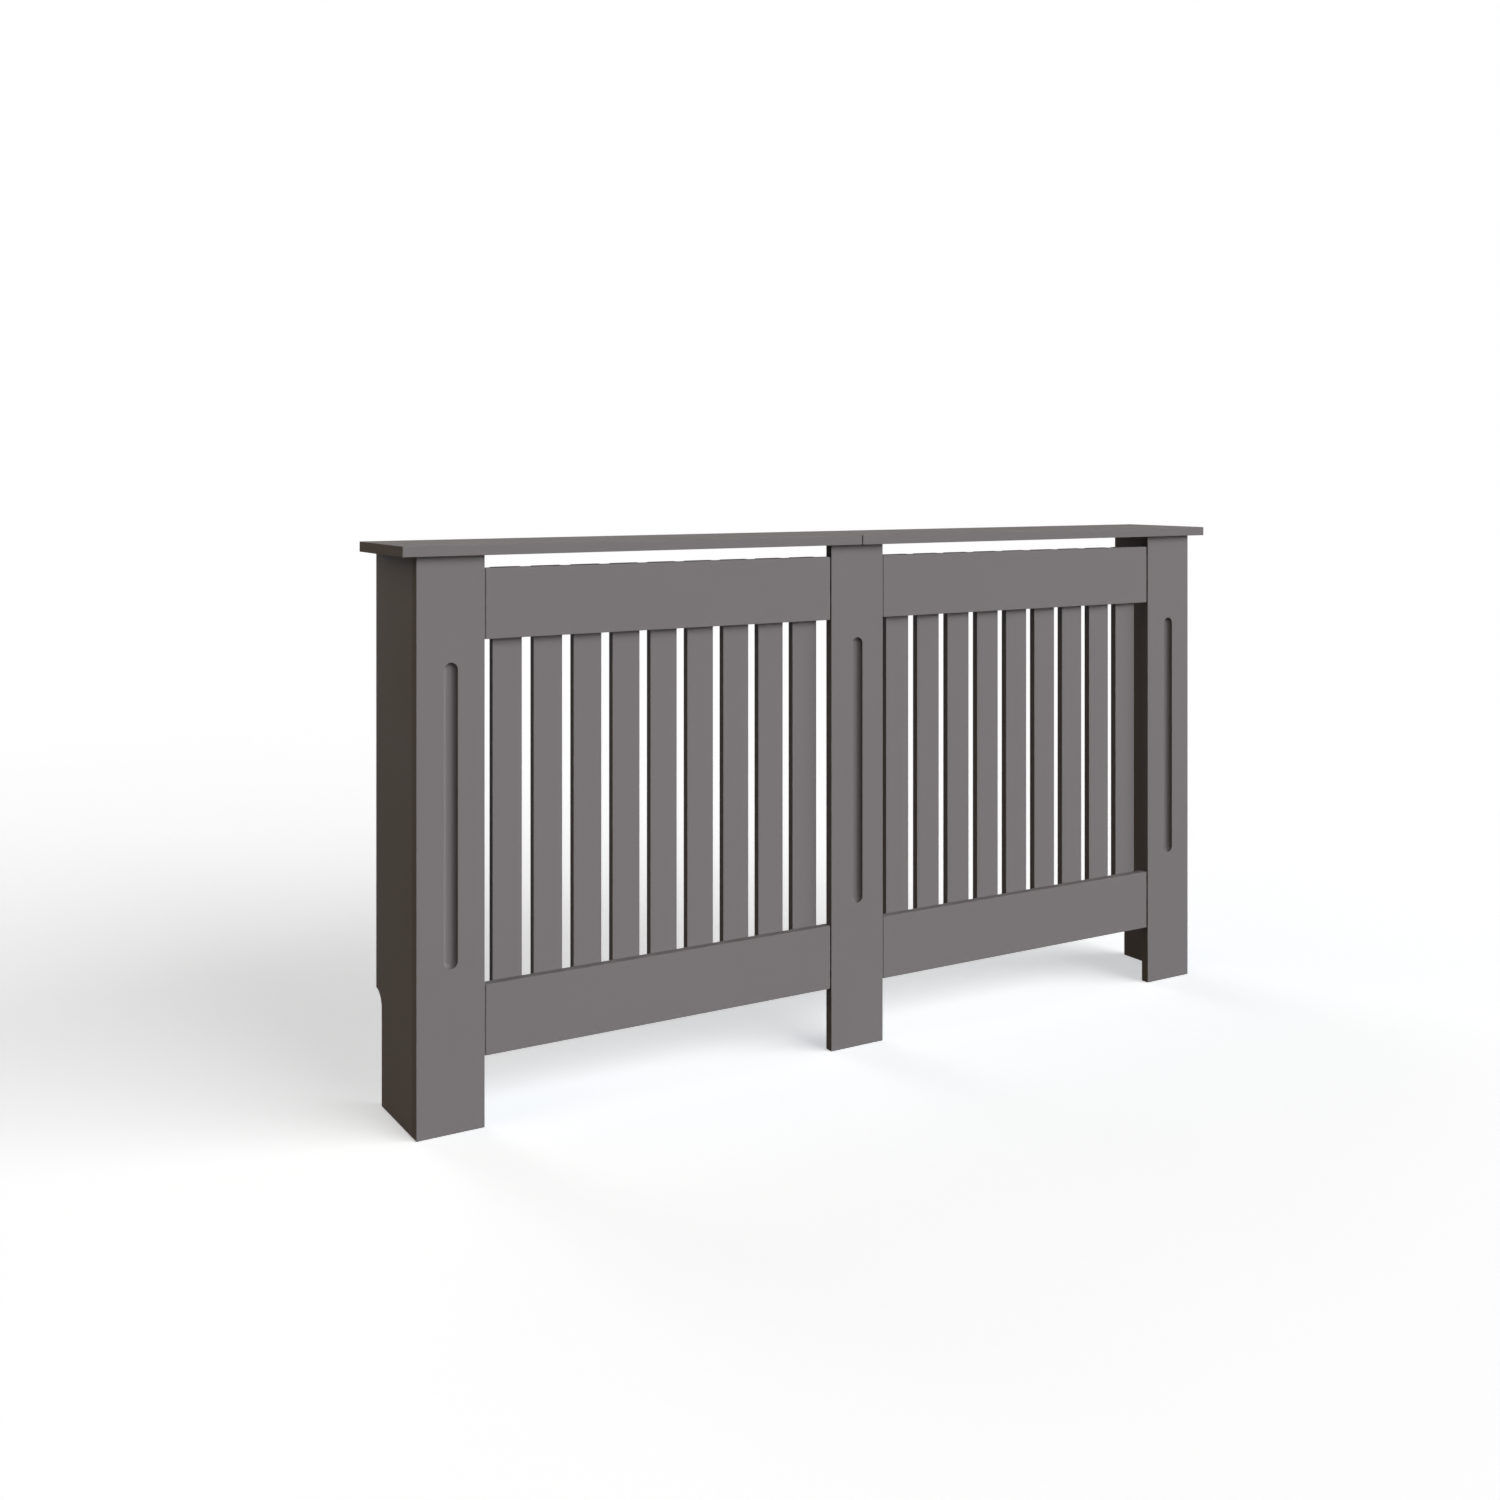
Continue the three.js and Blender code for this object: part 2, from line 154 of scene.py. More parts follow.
def makeWearGroup(shape):
    # rubbed edges: the band beside an edge, broken up so that only its rim shows here and there
    tree, entry, leave = newGroup(
        "rubbedEdge",
        [("Vector", "NodeSocketVector", None), ("Band", "NodeSocketFloat", 0.0),
         ("Reach", "NodeSocketFloat", 0.9)],
        [("Mask", "NodeSocketFloat")],
    )
    breakUp = addNode(tree, "ShaderNodeTexNoise", (-600, 0),
                      sockets={"Scale": shape["breakScale"], "Detail": shape["breakDetail"]})
    shifted = addNode(tree, "ShaderNodeMath", (-350, 0), settings={"operation": "MULTIPLY_ADD"},
                      sockets={1: shape["breakReach"], 2: -shape["breakReach"] / 2})
    summed = addNode(tree, "ShaderNodeMath", (-150, 0), settings={"operation": "ADD"})
    mask = addNode(tree, "ShaderNodeMapRange", (100, 0), settings={"interpolation_type": "SMOOTHSTEP"},
                   sockets={"From Max": shape["full"]})
    link(tree, entry.outputs["Vector"], breakUp.inputs["Vector"])
    link(tree, breakUp.outputs["Fac"], shifted.inputs[0])
    link(tree, shifted.outputs[0], summed.inputs[0])
    link(tree, entry.outputs["Band"], summed.inputs[1])
    link(tree, summed.outputs[0], mask.inputs["Value"])
    link(tree, entry.outputs["Reach"], mask.inputs["From Min"])
    link(tree, mask.outputs[0], leave.inputs["Mask"])
    return tree


dustShape = {
    "level": (0.6, 1.0),  # the normal's Z from which dust starts to lie, and where it lies fully
    "driftScale": 11.0,
    "driftDetail": 8.0,
    "drift": (0.3, 0.75),  # the part of the noise that goes from bare to covered
}


def makeDustGroup(shape):
    # settled dust: only on what faces up, in uneven drifts
    tree, entry, leave = newGroup(
        "settledDust",
        [("Vector", "NodeSocketVector", None), ("Amount", "NodeSocketFloat", 0.3)],
        [("Mask", "NodeSocketFloat")],
    )
    surface = addNode(tree, "ShaderNodeNewGeometry", (-750, 200))
    parts = addNode(tree, "ShaderNodeSeparateXYZ", (-550, 200))
    facing = addNode(tree, "ShaderNodeMapRange", (-350, 200),
                     sockets={"From Min": shape["level"][0], "From Max": shape["level"][1]})
    drift = addNode(tree, "ShaderNodeTexNoise", (-550, -100),
                    sockets={"Scale": shape["driftScale"], "Detail": shape["driftDetail"]})
    spread = addNode(tree, "ShaderNodeMapRange", (-350, -100),
                     sockets={"From Min": shape["drift"][0], "From Max": shape["drift"][1]})
    both = addNode(tree, "ShaderNodeMath", (-100, 80), settings={"operation": "MULTIPLY"})
    scaled = addNode(tree, "ShaderNodeMath", (100, 80), settings={"operation": "MULTIPLY"})
    link(tree, surface.outputs["Normal"], parts.inputs[0])
    link(tree, parts.outputs["Z"], facing.inputs["Value"])
    link(tree, entry.outputs["Vector"], drift.inputs["Vector"])
    link(tree, drift.outputs["Fac"], spread.inputs["Value"])
    link(tree, facing.outputs[0], both.inputs[0])
    link(tree, spread.outputs[0], both.inputs[1])
    link(tree, both.outputs[0], scaled.inputs[0])
    link(tree, entry.outputs["Amount"], scaled.inputs[1])
    link(tree, scaled.outputs[0], leave.inputs["Mask"])
    return tree


filmGroup = makeFilmGroup(filmShape)
wearGroup = makeWearGroup(wearShape)
dustGroup = makeDustGroup(dustShape)


# Finishes

def startMaterial(name):
    # a material with a bare shader, and the piece's own coordinates for its textures
    material = bpy.data.materials.new(name)
    material.use_nodes = True
    tree = material.node_tree
    tree.nodes.clear()
    output = addNode(tree, "ShaderNodeOutputMaterial", (900, 0))
    shader = addNode(tree, "ShaderNodeBsdfPrincipled", (600, 0))
    link(tree, shader.outputs[0], output.inputs["Surface"])
    place = addNode(tree, "ShaderNodeTexCoord", (-900, 0))
    return material, tree, shader, place.outputs["Object"]


def useGroup(tree, group, place, vector, **sockets):
    # a shared group, with the values of its named sockets
    node = addNode(tree, "ShaderNodeGroup", place, settings={"node_tree": group})
    link(tree, vector, node.inputs["Vector"])
    for key, value in sockets.items():
        node.inputs[key.replace("_", " ")].default_value = value
    return node


def useFilm(tree, place, vector, finish):
    # the sprayed film at the finish's own two scales
    return useGroup(tree, filmGroup, place, vector,
                    Peel_Scale=finish["peelScale"], Cloud_Scale=finish["cloudScale"])


def blendColours(tree, place, factor, first, second):
    # first where the factor is 0, second where it is 1; each is a colour or a socket
    node = addNode(tree, "ShaderNodeMix", place, settings={"data_type": "RGBA"})
    link(tree, factor, node.inputs["Factor"])
    for value, socket in ((first, node.inputs["A"]), (second, node.inputs["B"])):
        if isinstance(value, tuple):
            socket.default_value = value
        else:
            link(tree, value, socket)
    return node.outputs["Result"]


def ramp(tree, place, value, low, high):
    # carries 0..1 to low..high
    node = addNode(tree, "ShaderNodeMapRange", place, sockets={"To Min": low, "To Max": high})
    link(tree, value, node.inputs["Value"])
    return node.outputs[0]


def addUp(tree, place, first, second):
    node = addNode(tree, "ShaderNodeMath", place, settings={"operation": "ADD"})
    link(tree, first, node.inputs[0])
    link(tree, second, node.inputs[1])
    return node.outputs[0]


def bump(tree, place, height, distance, shader):
    # a height of 0..1, times the distance in metres, tilts the shader's normal
    node = addNode(tree, "ShaderNodeBump", place, sockets={"Strength": 1.0, "Distance": distance})
    link(tree, height, node.inputs["Height"])
    link(tree, node.outputs[0], shader.inputs["Normal"])


paintFinish = {
    "thin": (0.172, 0.162, 0.167, 1),
    "full": (0.184, 0.173, 0.178, 1),
    "rubbed": (0.205, 0.195, 0.196, 1),
    "dust": (0.34, 0.335, 0.32, 1),
    "roughFace": (0.60, 0.70),
    "roughSawn": 0.12,  # added on the sawn edges, which drink the paint
    "dustAmount": 0.10,
    "peelScale": 620.0,
    "peelDepth": 0.000012,
    "cloudScale": 6.0,
    "wearReach": 0.93,  # how close to the rim the paint is rubbed
    "specular": 0.06,
}


def makePaint(finish):
    # satin grey: the film's clouds run from the thin to the full coat, its edges are rubbed and what
    # faces up is dusted. Roughness follows the clouds, plus a share of the sawn band.
    material, tree, shader, where = startMaterial("paintedBoard")
    film = useFilm(tree, (-600, 100), where, finish)
    edge = addNode(tree, "ShaderNodeAttribute", (-900, -250), settings={"attribute_name": "edge"})
    sawn = addNode(tree, "ShaderNodeAttribute", (-900, -450), settings={"attribute_name": "sawn"})
    wear = useGroup(tree, wearGroup, (-600, -200), where, Reach=finish["wearReach"])
    link(tree, edge.outputs["Fac"], wear.inputs["Band"])
    dust = useGroup(tree, dustGroup, (-600, -450), where, Amount=finish["dustAmount"])
    coat = blendColours(tree, (-300, 250), film.outputs["Cloud"], finish["thin"], finish["full"])
    worn = blendColours(tree, (-50, 200), wear.outputs["Mask"], coat, finish["rubbed"])
    dusty = blendColours(tree, (200, 150), dust.outputs["Mask"], worn, finish["dust"])
    link(tree, dusty, shader.inputs["Base Color"])
    smoothness = ramp(tree, (-300, -100), film.outputs["Cloud"], *finish["roughFace"])
    extra = ramp(tree, (-300, -350), sawn.outputs["Fac"], 0.0, finish["roughSawn"])
    link(tree, addUp(tree, (0, -200), smoothness, extra), shader.inputs["Roughness"])
    bump(tree, (300, -300), film.outputs["Height"], finish["peelDepth"], shader)
    shader.inputs["Specular IOR Level"].default_value = finish["specular"]
    return material


woodFinish = {
    "pale": (0.62, 0.42, 0.24, 1),
    "dark": (0.44, 0.27, 0.14, 1),
    "fleck": (0.30, 0.17, 0.08, 1),
    "rough": (0.55, 0.75),
    "grainScale": 900.0,
    "grainDetail": 6.0,
    "grainDepth": 0.00002,
    "poreScale": 1400.0,
    "poreRim": (0.16, 0.05),  # distance from a pore's middle where its fleck starts and is full
}


def makeWood(finish):
    # fine grain from noise, with the short dark flecks that beech has
    material, tree, shader, where = startMaterial("beechDowel")
    grain = addNode(tree, "ShaderNodeTexNoise", (-600, 150),
                    sockets={"Scale": finish["grainScale"], "Detail": finish["grainDetail"]})
    pore = addNode(tree, "ShaderNodeTexVoronoi", (-600, -150), sockets={"Scale": finish["poreScale"]})
    link(tree, where, grain.inputs["Vector"])
    link(tree, where, pore.inputs["Vector"])
    base = blendColours(tree, (-250, 200), grain.outputs["Fac"], finish["pale"], finish["dark"])
    fleckMask = addNode(tree, "ShaderNodeMapRange", (-250, -150),
                        sockets={"From Min": finish["poreRim"][0], "From Max": finish["poreRim"][1]})
    link(tree, pore.outputs["Distance"], fleckMask.inputs["Value"])
    flecked = blendColours(tree, (100, 100), fleckMask.outputs[0], base, finish["fleck"])
    link(tree, flecked, shader.inputs["Base Color"])
    rough = ramp(tree, (100, -150), grain.outputs["Fac"], *finish["rough"])
    link(tree, rough, shader.inputs["Roughness"])
    bump(tree, (300, -300), grain.outputs["Fac"], finish["grainDepth"], shader)
    return material


castFinish = {
    "bright": (0.60, 0.60, 0.61, 1),
    "dull": (0.40, 0.40, 0.42, 1),
    "stain": (0.26, 0.26, 0.27, 1),
    "rough": (0.34, 0.55),
    "peelScale": 2600.0,
    "cloudScale": 260.0,
    "stainReach": 0.2,
    "pitDepth": 0.00002,
}


def makeCast(finish):
    # die-cast zinc: mottled grey with a fine pitted skin
    material, tree, shader, where = startMaterial("zincCam")
    film = useFilm(tree, (-600, 100), where, finish)
    wear = useGroup(tree, wearGroup, (-600, -200), where, Reach=finish["stainReach"])
    base = blendColours(tree, (-250, 200), film.outputs["Cloud"], finish["bright"], finish["dull"])
    stained = blendColours(tree, (50, 150), wear.outputs["Mask"], base, finish["stain"])
    link(tree, stained, shader.inputs["Base Color"])
    rough = ramp(tree, (0, -150), film.outputs["Cloud"], *finish["rough"])
    link(tree, rough, shader.inputs["Roughness"])
    bump(tree, (300, -300), film.outputs["Height"], finish["pitDepth"], shader)
    shader.inputs["Metallic"].default_value = 1.0
    return material


steelFinish = {
    "bright": (0.66, 0.66, 0.65, 1),
    "yellowed": (0.56, 0.54, 0.48, 1),
    "rough": (0.22, 0.42),
    "drawStretch": (1.0, 40.0, 40.0),
    "drawScale": 70.0,
    "drawDetail": 6.0,
    "drawDepth": 0.000006,
    "peelScale": 1800.0,
    "cloudScale": 60.0,
}


def makeSteel(finish):
    # zinc-plated steel: fine drawing lines under a faint yellow passivation
    material, tree, shader, where = startMaterial("platedSteel")
    stretch = addNode(tree, "ShaderNodeMapping", (-750, 150), sockets={"Scale": finish["drawStretch"]})
    lines = addNode(tree, "ShaderNodeTexNoise", (-550, 150),
                    sockets={"Scale": finish["drawScale"], "Detail": finish["drawDetail"]})
    link(tree, where, stretch.inputs["Vector"])
    link(tree, stretch.outputs[0], lines.inputs["Vector"])
    film = useFilm(tree, (-550, -150), where, finish)
    base = blendColours(tree, (-200, 150), film.outputs["Cloud"], finish["bright"], finish["yellowed"])
    link(tree, base, shader.inputs["Base Color"])
    rough = ramp(tree, (-200, -100), lines.outputs["Fac"], *finish["rough"])
    link(tree, rough, shader.inputs["Roughness"])
    bump(tree, (300, -300), lines.outputs["Fac"], finish["drawDepth"], shader)
    shader.inputs["Metallic"].default_value = 1.0
    return material


paint = makePaint(paintFinish)
wood = makeWood(woodFinish)
cast = makeCast(castFinish)
steel = makeSteel(steelFinish)
print("finishes made")


# Mesh helpers

mergeDistance = 0.000002
smoothAngle = math.radians(40)
flatAngle = math.radians(1)  # faces that meet at less than this are one flat face
flatWeight = 100  # gives the larger faces all the say in the shading of the eased edges
axisX, axisY, axisZ = 0, 1, 2


def gridQuads(rows, columns):
    # the quads between neighbouring rows, closed round the columns
    row, column = np.meshgrid(np.arange(rows - 1), np.arange(columns), indexing="ij")
    after = (column + 1) % columns
    corners = (row * columns + column, row * columns + after,
               (row + 1) * columns + after, (row + 1) * columns + column)
    return np.stack(corners, axis=-1).reshape(-1, 4)


def putMesh(name, rings, bands, capStart, capEnd):
    # rings is rows x points x 3; bands holds a value for each row of each named attribute
    rows, columns, _ = rings.shape
    faces = gridQuads(rows, columns).tolist()
    if capStart:
        faces.append(list(range(columns))[::-1])
    if capEnd:
        faces.append(list(range((rows - 1) * columns, rows * columns)))
    mesh = bpy.data.meshes.new(name)
    mesh.from_pydata(rings.reshape(-1, 3), [], faces)
    for label, values in bands.items():
        layer = mesh.attributes.new(label, "FLOAT", "POINT")
        layer.data.foreach_set("value", np.repeat(values, columns).astype(np.float32))
    closeMesh(mesh)
    piece = bpy.data.objects.new(name, mesh)
    bpy.context.scene.collection.objects.link(piece)
    return piece


def closeMesh(mesh):
    # joins doubled points, drops what that empties and turns every face outwards
    work = bmesh.new()
    work.from_mesh(mesh)
    bmesh.ops.remove_doubles(work, verts=work.verts, dist=mergeDistance)
    bmesh.ops.dissolve_degenerate(work, edges=work.edges, dist=mergeDistance)
    bmesh.ops.recalc_face_normals(work, faces=work.faces)
    work.to_mesh(mesh)
    work.free()
    mesh.update()


def shadeByArea(piece):
    # smooth over the eased edges, with the flats kept flat because they are the larger faces
    piece.data.shade_smooth()
    piece.data.set_sharp_from_angle(angle=smoothAngle)
    step = piece.modifiers.new("flats", "WEIGHTED_NORMAL")
    step.keep_sharp = True
    step.weight = flatWeight


def finishPiece(piece, material, slotName, *nodes):
    # one material, and the nodes of the frame that the piece stands for
    piece.data.materials.clear()
    piece.data.materials.append(material)
    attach(piece, "root")
    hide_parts(*nodes)
    return piece


# Boards

boardFinish = {
    "arris": 0.0006,  # radius of the eased edges
    "corner": 0.0010,  # radius at the corners of a board's outline
    "easeSteps": 4,
    "shoulder": 0.0035,  # from an edge to where its band ends
}
flatTurn = math.radians(20)  # a gentler turn in an outline belongs to a curve and isn't eased


def easeOutline(corners, radius, steps):
    # each sharp corner gives way to an arc that touches both its sides. A point of the arc is its
    # centre less the radius times the left normal, turned by a share of the corner's angle.
    corners = np.asarray(corners, float)
    into = corners - np.roll(corners, 1, axis=0)
    into /= np.linalg.norm(into, axis=1, keepdims=True)
    out = np.roll(into, -1, axis=0)
    turn = np.arctan2(into[:, 0] * out[:, 1] - into[:, 1] * out[:, 0], (into * out).sum(1))
    sharp = np.abs(turn) > flatTurn
    r = np.where(sharp, radius, 0.0) * np.sign(turn)
    share = np.linspace(0, 1, steps + 1)
    angle = turn[:, None] * share
    left = np.stack([-into[:, 1], into[:, 0]], axis=1)
    turned = np.stack([left[:, :1] * np.cos(angle) - left[:, 1:] * np.sin(angle),
                       left[:, :1] * np.sin(angle) + left[:, 1:] * np.cos(angle)], axis=-1)
    centre = corners - into * (np.abs(r) * np.tan(np.abs(turn) / 2))[:, None] + left * r[:, None]
    points = centre[:, None] - turned * r[:, None, None]
    mitre = (left + np.roll(left, -1, axis=0)) / (1 + np.cos(turn))[:, None]
    keep = sharp[:, None] | (share == 0.5)
    spread = np.repeat(np.arange(len(corners)), steps + 1).reshape(keep.shape)[keep]
    return {
        "points": points[keep],
        "inward": np.where(sharp[:, None, None], turned, mitre[:, None])[keep],
        "corner": corners[spread],
        "mitre": mitre[spread],
        "radius": np.where(r > 0, r, 1.0)[spread],  # a hollow corner never runs out of radius
    }


def insetOutline(outline, distance):
    # every point moves inwards; an outer corner closes to its mitre once its radius is used up,
    # and nothing passes the sides of the outline's own box drawn in by the same distance
    moved = outline["points"] + outline["inward"] * distance
    mitred = outline["corner"] + outline["mitre"] * distance
    drawn = np.where((distance >= outline["radius"])[:, None], mitred, moved)
    low, high = outline["corner"].min(axis=0), outline["corner"].max(axis=0)
    return np.clip(drawn, low + distance, high - distance)


def plateRows(low, high, finish):
    # inset, level, edge band and sawn band of each ring, from the low face round to the high face
    arris = finish["arris"]
    shoulder = finish["shoulder"]
    angle = np.linspace(0, math.pi / 2, finish["easeSteps"] + 1)
    inset = arris * (1 - np.sin(angle))
    rise = arris * (1 - np.cos(angle))
    level = np.concatenate([[low], low + rise, [low + arris + shoulder, high - arris - shoulder],
                            high - rise[::-1], [high]])
    insets = np.concatenate([[arris + shoulder], inset, [0, 0], inset[::-1], [arris + shoulder]])
    rim = np.ones(len(angle))
    lean = angle / (math.pi / 2)
    edge = np.concatenate([[0], rim, [0, 0], rim, [0]])
    sawn = np.concatenate([[0], lean, [1, 1], lean[::-1], [0]])
    return insets, level, edge, sawn


def throughAxis(flat, level, axis):
    # puts a flat outline and its level through the board into X, Y, Z. The outline's own axes are
    # the next two in the order X, Y, Z, X, Y, so that the solid keeps its handedness.
    rings = np.empty((*flat.shape[:2], 3))
    rings[..., axis] = level[:, None]
    rings[..., (axis + 1) % 3] = flat[..., 0]
    rings[..., (axis + 2) % 3] = flat[..., 1]
    return rings


def makeBoard(node, corners, axis, finish):
    # an eased outline carried through the thickness and drawn in along a quarter circle at the faces
    low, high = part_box(node)
    outline = easeOutline(corners, finish["corner"], finish["easeSteps"])
    insets, level, edge, sawn = plateRows(low[axis], high[axis], finish)
    flat = np.stack([insetOutline(outline, inset) for inset in insets])
    rings = throughAxis(flat, level, axis)
    return putMesh(f"{node}_painted", rings, {"edge": edge, "sawn": sawn}, True, True)


def boxCorners(node, axis):
    # the four corners of a node's box across its thickness, going round to the left
    low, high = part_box(node)
    a, b = (axis + 1) % 3, (axis + 2) % 3
    return [(low[a], low[b]), (high[a], low[b]), (high[a], high[b]), (low[a], high[b])]


railEnd = {"chamfer": 0.0024}  # of the front edge at each end, beside a leg


def makeRail(node, finish):
    # an upright board whose front is narrowed towards the middle by the chamfer less the depth
    low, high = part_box(node)
    outline = easeOutline(boxCorners(node, axisY), finish["corner"], finish["easeSteps"])
    insets, level, edge, sawn = plateRows(low.y, high.y, finish)
    foot = finish["easeSteps"] + 2  # the ring after the front arris
    insets, level, edge, sawn = (np.insert(values, foot, value) for values, value in (
        (insets, 0.0), (level, low.y + railEnd["chamfer"]), (edge, 1.0), (sawn, 1.0)))
    flat = np.stack([insetOutline(outline, inset) for inset in insets])
    drawn = np.maximum(railEnd["chamfer"] - (level - low.y), 0.0)
    middle, half = (low.x + high.x) / 2, (high.x - low.x) / 2
    flat[..., 1] = middle + (flat[..., 1] - middle) * (1 - drawn / half)[:, None]
    rings = throughAxis(flat, level, axisY)
    return putMesh(f"{node}_painted", rings, {"edge": edge, "sawn": sawn}, True, True)


topJoint = {"gap": 0.0002, "mouth": 0.005}  # between the halves, and from an edge to where it closes


def topCorners(node):
    # half of the top in width and depth; its inner end closes on the other half past each mouth
    low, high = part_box(node)
    if low.x > 0:
        closed = topJoint["gap"] / 2
        return [(high.x, low.y), (high.x, high.y), (low.x, high.y), (closed, high.y - topJoint["mouth"]),
                (closed, low.y + topJoint["mouth"]), (low.x, low.y)]
    closed = -topJoint["gap"] / 2
    return [(low.x, high.y), (low.x, low.y), (high.x, low.y), (closed, low.y + topJoint["mouth"]),
            (closed, high.y - topJoint["mouth"]), (high.x, high.y)]


notch = {"height": 0.166, "depth": 0.025, "radius": 0.025, "steps": 20}


def panelCorners(node):
    # the side panel in depth and height, with the hollow quarter circle over its rear foot
    low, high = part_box(node)
    start = high.y - notch["depth"]
    angle = np.linspace(math.pi, math.pi / 2, notch["steps"] + 1)
    curve = np.stack([start + notch["radius"] * (1 + np.cos(angle)),
                      notch["height"] - notch["radius"] * (1 - np.sin(angle))], axis=1)
    return [(low.y, low.z), (start, low.z), *curve.tolist(), (high.y, high.z), (low.y, high.z)]


groove = {
    "width": 0.020,
    "depth": 0.008,
    "fillet": 0.007,  # radius of the hollow between the bottom and the wall
    "endSpace": 0.030,  # from the level of the nearest rail edge to the end of the groove
    "lip": 0.0003,  # radius of the eased lip
    "filletSteps": 14,
    "lipSteps": 3,
    "endSteps": 32,
    "cornerClear": 0.02,  # radians between the ray to a corner of the leg and the next one
    "smallest": 1e-9,  # keeps the rays along an axis from dividing by nothing
}


def grooveProfile():
    # distance from the groove's middle line and depth below the leg's face: a level bottom, a
    # hollow quarter circle, a short upright wall and a quarter circle over the lip
    half, deep, fillet, lip = groove["width"] / 2, groove["depth"], groove["fillet"], groove["lip"]
    hollow = np.linspace(0, math.pi / 2, groove["filletSteps"] + 1)
    over = np.linspace(0, math.pi / 2, groove["lipSteps"] + 1)
    away = np.concatenate([[0], half - fillet + fillet * np.sin(hollow),
                           half + lip * (1 - np.cos(over))])
    depth = np.concatenate([[deep], deep - fillet * (1 - np.cos(hollow)), lip * (1 - np.sin(over))])
    return away, depth


def legCorners(node, ends):
    # the leg's outline in X and Z, with a point wherever a ray from an end of the groove meets it
    low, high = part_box(node)
    middle = (low.x + high.x) / 2
    half = (high.x - low.x) / 2
    found = []
    for end, room, sign in ((ends[0], ends[0] - low.z, -1), (ends[1], high.z - ends[1], 1)):
        angle = np.linspace(0, math.pi, groove["endSteps"] + 1)
        corner = math.atan2(room, half)
        clear = np.minimum(abs(angle - corner), abs(angle - math.pi + corner)) > groove["cornerClear"]
        angle = np.sort(np.concatenate([angle[clear], [corner, math.pi - corner]]))
        reach = np.minimum(half / np.maximum(np.abs(np.cos(angle)), groove["smallest"]),
                           room / np.maximum(np.sin(angle), groove["smallest"]))
        ray = np.stack([middle + reach * np.cos(angle), end + sign * reach * np.sin(angle)], axis=1)
        found.append(ray if sign > 0 else ray[::-1])
    return np.concatenate(found)


def makeLeg(node, finish):
    # rings spread from the groove's middle line over its hollow and lip to the outline of the leg,
    # round the eased edges and over the back
    low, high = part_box(node)
    bottomRail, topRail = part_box("bottom_rail_left")[1].z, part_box("top_rail_left")[0].z
    inner = groove["endSpace"] + groove["width"] / 2
    ends = (bottomRail + inner, topRail - inner)
    outline = easeOutline(legCorners(node, ends), finish["corner"], finish["easeSteps"])
    insets, level, edge, sawn = plateRows(-high.y, -low.y, finish)  # levels run towards the front
    middle = (low.x + high.x) / 2
    points = outline["points"]
    line = np.stack([np.full(len(points), middle), np.clip(points[:, 1], *ends)], axis=1)
    outwards = points - line
    outwards /= np.linalg.norm(outwards, axis=1, keepdims=True)
    away, depth = grooveProfile()
    shoulder = away[-1] + finish["shoulder"]
    hollow = line + outwards * np.concatenate([away, [shoulder]])[:, None, None]
    plate = np.stack([insetOutline(outline, inset) for inset in insets])
    flat = np.concatenate([plate, hollow[::-1]])
    level = np.concatenate([level, [-low.y], -low.y - depth[::-1]])
    edge = np.concatenate([edge, np.zeros(len(away) + 1)])
    sawn = np.concatenate([sawn, [0], np.linspace(0, 1, len(away))])
    front = np.broadcast_to(-level[:, None], flat.shape[:2])
    rings = np.stack([flat[..., 0], front, flat[..., 1]], axis=-1)
    return putMesh(f"{node}_painted", rings, {"edge": edge, "sawn": sawn}, True, False)


# Bores. Each is round, a little larger than what it holds.

boreFit = {"round": 0.0003, "end": 0.0005, "segments": 48}


def lathe(name, profile, centre, axis, segments, flute=0.0, flutes=0):
    # a profile of radius and height turned about an axis; flutes draw the radius in and out as
    # the flute times (1 - cos(flutes * angle)) / 2
    profile = np.asarray(profile, float)
    angle = np.linspace(0, 2 * math.pi, segments, endpoint=False)
    radius = profile[:, :1] - flute * (1 - np.cos(flutes * angle)) / 2 * (profile[:, :1] > flute)
    rings = np.empty((len(profile), segments, 3))
    rings[..., axis] = profile[:, 1:]
    rings[..., (axis + 1) % 3] = radius * np.cos(angle)
    rings[..., (axis + 2) % 3] = radius * np.sin(angle)
    return putMesh(name, rings + np.asarray(centre), {}, True, True)


def boreFor(node, axis):
    # a bar round a fitting's own box, a little wider all round and a little longer at each end
    low, high = (np.array(corner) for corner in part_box(node))
    centre = (low + high) / 2
    across = (high - low)[(axis + 1) % 3]
    radius = across / 2 + boreFit["round"]
    half = (high - low)[axis] / 2 + boreFit["end"]
    return lathe("bore", [(radius, -half), (radius, half)], centre, axis, boreFit["segments"])


def cutBores(piece, bores):
    # takes every bore out of the board, and keeps the result as its plain mesh
    for bore in bores:
        step = piece.modifiers.new("bore", "BOOLEAN")
        step.operation = "DIFFERENCE"
        step.solver = "MANIFOLD"
        step.object = bore
    bpy.context.view_layer.update()
    graph = bpy.context.evaluated_depsgraph_get()
    old = piece.data
    cut = bpy.data.meshes.new_from_object(piece.evaluated_get(graph))
    piece.modifiers.clear()
    piece.data = cut
    cut.name = piece.name
    bpy.data.meshes.remove(old)
    for bore in bores:
        bpy.data.objects.remove(bore)


sides = ("left", "right")


def railDowelBores(side, level=None, end=None):
    # the bores of a bay's four rail dowels, or of those at one level or one end
    levels = (level,) if level else ("bottom", "top")
    ends = (end,) if end else ("outer", "inner")
    return [boreFor(f"{a}_rail_dowel_{side}_{b}", axisX) for a in levels for b in ends]


def fittingBores(side, levels, axis, pockets):
    # the bolts' bores, and for the panel that holds them the pockets of their cams too
    found = [boreFor(f"{level}_{side}_bolt", axis) for level in levels]
    if pockets:
        found += [boreFor(f"{level}_{side}_cam", axisX) for level in levels]
    return found


